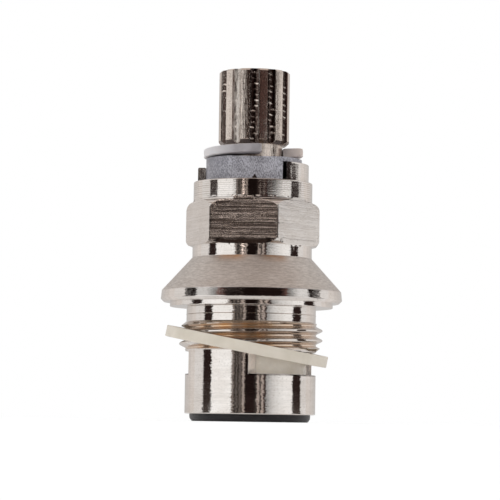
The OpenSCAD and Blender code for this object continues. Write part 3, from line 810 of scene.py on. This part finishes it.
# teeth: bevelled at both ends, with small ridges of cutter chatter across each valley's floor
low_bevel_end = z_spline + teeth - tooth_foot_r
high_bevel_start = np.minimum(z_end - 0.55 + 6.8 - teeth, z_end - 0.02)
chatter = np.random.default_rng(12)
from_valley = spindle_turn + 90 + tooth_angle / 2
valley_number = np.floor(np.mod(from_valley, 360) / tooth_angle).astype(int) % 12
valley_off = (np.mod(from_valley, tooth_angle) - tooth_angle / 2) / half_valley_angle
valley_share = np.clip(1 - valley_off ** 2, 0, 1)
valley_phase = chatter.uniform(0, 1, 12)[valley_number]
valley_pitch = chatter.uniform(1.0, 1.25, 12)[valley_number]
ridge_height = chatter.uniform(0.15, 1.0, (12, 16))
ridge_side = chatter.uniform(-0.5, 0.6, (12, 16))
# how dark each valley is painted, oxide and painted shade; valleys 1 and 2 darker, the dusty one lighter
valley_oxide_and_shade_level = chatter.uniform(0.8, 1.0, 12)
dusty_valley = 11
valley_oxide_and_shade_level[[1, 2, dusty_valley]] = 1.25, 1.25, 0.3
bevel_first = len(stem_rows)
torn_edge = chatter.uniform(0, 0.07, len(teeth))
stem_rows += [(teeth - 0.03, low_bevel_end - 0.03), (teeth + torn_edge, low_bevel_end)]
ridged_first = len(stem_rows)
fleck_rows = []
for share in np.linspace(0.004, 0.996, 128):
    z = low_bevel_end + (high_bevel_start - low_bevel_end) * share
    beat = (z - z_spline) / valley_pitch + valley_phase + 0.16 * valley_off
    ridge = np.clip(np.floor(beat + 0.5), 0, 15).astype(int)
    crest = np.clip(np.cos(2 * math.pi * beat), 0, 1) ** 5
    crest = crest * np.exp(-((valley_off - ridge_side[valley_number, ridge]) / 0.42) ** 2)
    fade = np.clip((z - low_bevel_end) / 1.2, 0, 1) * np.clip((high_bevel_start - z) / 1.2, 0, 1)
    fleck_rows.append(crest * ridge_height[valley_number, ridge] * fade)
    stem_rows.append((teeth + 0.16 * fleck_rows[-1] * valley_share, z))
ridged = slice(ridged_first, len(stem_rows))
stem_rows += [(teeth, high_bevel_start), (np.minimum(teeth, 6.25), z_end), (screw_r + 0.3, z_end),
              (screw_r, z_end - 0.3), (screw_r, screw_floor), (0, screw_floor - 0.6)]
valley_oxide_and_shade, flecks, dusty = np.zeros((3, len(stem_rows), len(spindle_turn)))
valley_oxide_and_shade[ridged] = valley_share * valley_oxide_and_shade_level[valley_number]
# painted shade: dark bands on the bevel at the foot of the teeth
valley_oxide_and_shade[bevel_first - 1:bevel_first + 1] = 0.25
valley_oxide_and_shade[bevel_first - 4:bevel_first - 2] = 0.14
dusty[ridged] = np.where(valley_number == dusty_valley, np.sqrt(valley_share), 0)
flecks[ridged] = np.clip(1.6 * np.stack(fleck_rows), 0, 1)
spindle = skin_of_rows("spindle_stem", spindle_turn, stem_rows, sharp=32,
                       tints={"valley": valley_oxide_and_shade, "fleck": flecks, "dust": dusty})


def stretched(tree, *scale):
    """Object coordinates scaled apart, for a grain that is drawn out one way."""
    return add_node(tree, "Mapping", Vector=object_place(tree), Scale=scale)[0]


def spindle_nickel(name):
    """Nickel plate as on the body, but browner, with pitted valleys darkened by oxide and painted shade, one
    of them dusty.
    """
    made = nickel_plate(name, 0.07)
    tree = made.node_tree
    shader = tree.nodes["Principled BSDF"]
    plate, plain = (shader.inputs[socket].links[0].from_socket for socket in ("Base Color", "Normal"))
    pits = noise(object_place(tree), 3.0, 0.7, 2600.0)
    streak = noise(stretched(tree, 2600, 2600, 500), 3.0, 0.65)
    drawn = noise(stretched(tree, 5200, 5200, 260), 2.0, 0.6)
    # oxide and painted shade in the valleys, left off the chatter ridges
    oxide_and_shade = times(spread(tint_of(tree, "valley"), 0.05, 0.4, 0.0, 0.97),
                 spread(pits, 0.5, 0.7, 1.0, 0.65))
    oxide_and_shade = times(oxide_and_shade, spread(tint_of(tree, "fleck"), 0.1, 0.6, 1.0, 0.0))
    dust = times(tint_of(tree, "dust"), spread(streak, 0.4, 0.56, 0.3, 1.0))
    warm = mix_colour(1.0, plate, (1.0, 0.94, 0.89), "MULTIPLY")
    oxide_and_shade_plate = mix_colour(oxide_and_shade, warm, (0.045, 0.025, 0.019))
    fit(shader, Base_Color=mix_colour(dust, oxide_and_shade_plate, (0.66, 0.595, 0.54)),
        Metallic=calc("MULTIPLY_ADD", dust, -0.85, 1.0), Normal=bumped(drawn, 4.5e-5, Normal=plain))
    return made


spindle.data.materials.append(spindle_nickel("spindle_nickel"))
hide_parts("spindle")
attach(spindle, "stem")

# The stem seals and the thrust washer stay inside: two rubber rings in the spindle's grooves, and a white
# slip washer between its foot and the body's shoulder.
dress("spindle_o_ring_upper", seal_rubber)
dress("spindle_o_ring_lower", seal_rubber)


def slip_plastic(name, low, high, rough=0.4, under=0.1, scale=500.0, clear=0.0):
    """Moulded plastic with light under its skin; a milky plastic also lets some light through."""
    return clouded_finish(
        name, (0.32, low), (0.7, high), (rough - 0.06, rough + 0.08), (3.0, 0.55, scale), (2.0, 0.6, 7000.0),
        3e-6, Transmission_Weight=clear, Subsurface_Weight=under, Subsurface_Radius=(0.001, 0.0009, 0.0008))


dress("thrust_washer", slip_plastic("slip_white", (0.72, 0.72, 0.7), (0.84, 0.84, 0.82)))

# The stop ring: a grey moulded ring that slips over the spindle's lower teeth. Its skirt is cut away so that
# the gap's two ends meet the body's stop lug, and its flat front has a small index notch below.
z_ring, z_plate, z_ring_top = 44.18, 47.68, 48.53
core_r, plate_r, ring_flat, flat_angle = 8.75, 9.0, 7.25, -87.0
skirt_gap = (-51.9, 83.9)
index_angle, index_half, index_tall = -88.0, 0.75, 1.05
index_spread = math.degrees(math.asin(index_half / ring_flat))
flat_ends = [flat_angle + way * math.degrees(math.acos(ring_flat / r))
             for r in (core_r, plate_r) for way in (-1, 1)]
index_ends = [index_angle - index_spread, index_angle, index_angle + index_spread]
ring_turn = turns(312, flat_ends + index_ends, skirt_gap)
hole = tooth_outline(ring_turn, 0.06)
facing = np.cos(np.radians(ring_turn - flat_angle))
front = np.where(facing > 0.2, ring_flat / np.maximum(facing, 0.2), 99)
no_skirt = inside(ring_turn, *skirt_gap)
skirt_edge = np.minimum(core_r, front)
plate_edge = np.minimum(np.where(no_skirt, plate_r, core_r), front)
index_off = np.abs(ring_flat * np.sin(np.radians(ring_turn - index_angle)))
index_cut = np.where(facing > 0.5, index_tall * np.clip(1 - index_off / index_half, 0, None), 0)
skirt_cut = np.where(no_skirt, z_plate, z_ring + index_cut)
soft = np.where(no_skirt, 0.0, 0.1)
stop_ring = skin_of_rows("stop_ring_moulding", ring_turn, [
    (hole, skirt_cut), (skirt_edge - 0.13, skirt_cut), (skirt_edge - 0.1, skirt_cut),
    (skirt_edge - 0.03, skirt_cut + 0.3 * soft), (skirt_edge, skirt_cut + soft),
    (skirt_edge, skirt_cut + 1.3 * soft), (skirt_edge, np.where(no_skirt, z_plate, z_plate - 0.05)),
    (skirt_edge, z_plate), (np.where(no_skirt, plate_edge - 0.04, skirt_edge), z_plate),
    (plate_edge, z_plate + 0.04),
    (plate_edge, z_ring_top - 0.13), (plate_edge, z_ring_top - 0.1), (plate_edge - 0.03, z_ring_top - 0.03),
    (plate_edge - 0.1, z_ring_top), (plate_edge - 0.13, z_ring_top), (hole + 0.05, z_ring_top),
    (hole, z_ring_top - 0.05)])


def satin_grey(name):
    """Lavender grey acetal with a fine drawn upright grain, and painted shade that makes it darker left of
    its flat front.
    """
    made, tree, shader = start_finish(name)
    grain = noise(stretched(tree, 6200, 6200, 2900), 3.0, 0.65)
    cloud = noise(object_place(tree), 3.0, 0.55, 420.0)
    shade = calc("ADD", times(grain, 0.75), times(cloud, 0.25))
    # painted shade: darker left of the flat front, by the piece's own x
    sideways = add_node(tree, "SeparateXYZ", Vector=object_place(tree))[0]
    shade = times(shade, spread(sideways, -0.0049, -0.0044, 0.89, 1.0))
    fit(shader, Base_Color=ramp(shade, (0.44, (0.23, 0.223, 0.25)), (0.555, (0.56, 0.548, 0.6))),
        Roughness=spread(grain, 0.3, 0.7, 0.38, 0.52), Specular_IOR_Level=0.35,
        Normal=bumped(grain, 8e-6))
    return made


stop_ring.data.materials.append(satin_grey("ring_satin"))
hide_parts("stop_ring")
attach(stop_ring, "stem")

# The retaining clip: an open ring of milky nylon that snaps into the spindle's neck groove over the stop
# ring. It leans a little in its groove, and the corners of its ends are rounded.
clip_in, clip_out, clip_thick = 5.45, 9.2, 1.65
clip_tilt, clip_lean = math.radians(1.6), math.radians(1.2)
clip_start, clip_end, end_round, clip_base = -5.0, 280.0, 0.6, 48.8811
clip_turn = np.concatenate([[0, 0.004], np.linspace(0.008, 0.12, 12), np.linspace(0.13, 0.87, 150),
                            np.linspace(0.88, 0.992, 12), [0.996, 1]])
clip_arc = clip_start + (clip_end - clip_start) * clip_turn
from_end = np.minimum(clip_arc - clip_start, clip_end - clip_arc) * math.radians(1) * clip_out
rounding = np.clip(end_round - from_end, 0, end_round)
outer = clip_out - end_round + np.sqrt(end_round ** 2 - rounding ** 2)
section = np.array(rounded([(0.5, 0, 0), (1, 0, 0.2), (1, clip_thick, 0.2), (0, clip_thick, 0.2), (0, 0, 0.2),
                            (0.5, 0, 0)])[:-1])
inset = np.where((clip_turn == 0) | (clip_turn == 1), 0.06, 0.0)
clip_r = clip_in + inset + section[:, :1] * (outer - clip_in - 2 * inset)
clip_z = np.clip(section[:, 1:], 0, clip_thick) * (1 - 2 * inset / clip_thick) + inset

# the section is carried along the arc, and the ring is then leaned about x and tilted about y
clip_x, clip_y = clip_r * np.cos(np.radians(clip_arc)), clip_r * np.sin(np.radians(clip_arc))
clip_rise = clip_z * math.cos(clip_lean) - clip_y * math.sin(clip_lean)
clip_points = np.stack([clip_x * math.cos(clip_tilt) - clip_rise * math.sin(clip_tilt),
                        clip_y * math.cos(clip_lean) + clip_z * math.sin(clip_lean),
                        clip_x * math.sin(clip_tilt) + clip_rise * math.cos(clip_tilt) + clip_base], -1)
clip_index = np.arange(clip_r.size).reshape(clip_r.shape)
clip_faces = grid_faces(clip_r).reshape(-1, 4).tolist()
clip_faces += [clip_index[:, 0].tolist(), clip_index[::-1, -1].tolist()]
clip_mesh = bpy.data.meshes.new("retaining_clip_nylon")
clip_mesh.from_pydata((clip_points.reshape(-1, 3) * MM).tolist(), [], clip_faces)
clip = close_skin(clip_mesh, 40)

# nylon: clearer in front, with painted light shining through it, paler at the left and warm at the right
clip_place = np.empty(3 * len(clip.data.vertices))
clip.data.vertices.foreach_get("co", clip_place)
clip_side = clip_place[::3] / MM
milky = slip_plastic("clip_nylon", (0.35, 0.322, 0.335), (0.49, 0.457, 0.473), 0.42, 0.3, 420.0, 0.1)
milky_shader = milky.node_tree.nodes["Principled BSDF"]
clouded = milky_shader.inputs["Base Color"].links[0].from_socket
# painted light shining through the nylon: paler at the left, warm at the right
for tint, way, pale in (("painted_backlight", -1, (0.86, 0.83, 0.835)), ("painted_warm_backlight", 1, (0.8, 0.69, 0.63))):
    layer = clip.data.attributes.new(tint, "FLOAT", "POINT")
    layer.data.foreach_set("value", np.clip((way * clip_side - 3.0) / 6.0, 0, 1).astype(np.float32))
    clouded = mix_colour(tint_of(milky.node_tree, tint), clouded, pale)
fit(milky_shader, Base_Color=clouded)
clip.data.materials.append(milky)
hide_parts("retaining_clip")
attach(clip, "stem")

# The flange washer: a loose ivory plastic ring that hangs aslant on the thread until the cartridge is
# screwed home, when it seals under the flange.
washer_in, washer_out, washer_half = 13.85, 15.15, 1.025
washer_tilt, washer_lean = math.radians(10.5), math.radians(2.1)
washer_shift, washer_mid = -0.75, z_thread + 0.9
flange_washer = skin_of_rows("flange_washer_ring", np.linspace(0, 360, 361), rounded(
    [(14.5, -washer_half, 0), (washer_out, -washer_half, 0.1), (washer_out, washer_half, 0.1),
     (washer_in, washer_half, 0.1), (washer_in, -washer_half, 0.1), (14.4, -washer_half, 0)], 3))
flange_washer.data.transform(Matrix.Translation((washer_shift * MM, 0, washer_mid * MM))
                             @ Matrix.Rotation(washer_tilt, 4, "Y") @ Matrix.Rotation(washer_lean, 4, "X"))
flange_washer.data.materials.append(slip_plastic("washer_ivory", (0.74, 0.67, 0.56), (0.84, 0.765, 0.66),
                                                 0.42, 0.2, 260.0))
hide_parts("flange_washer")
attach(flange_washer, "loose_washer")
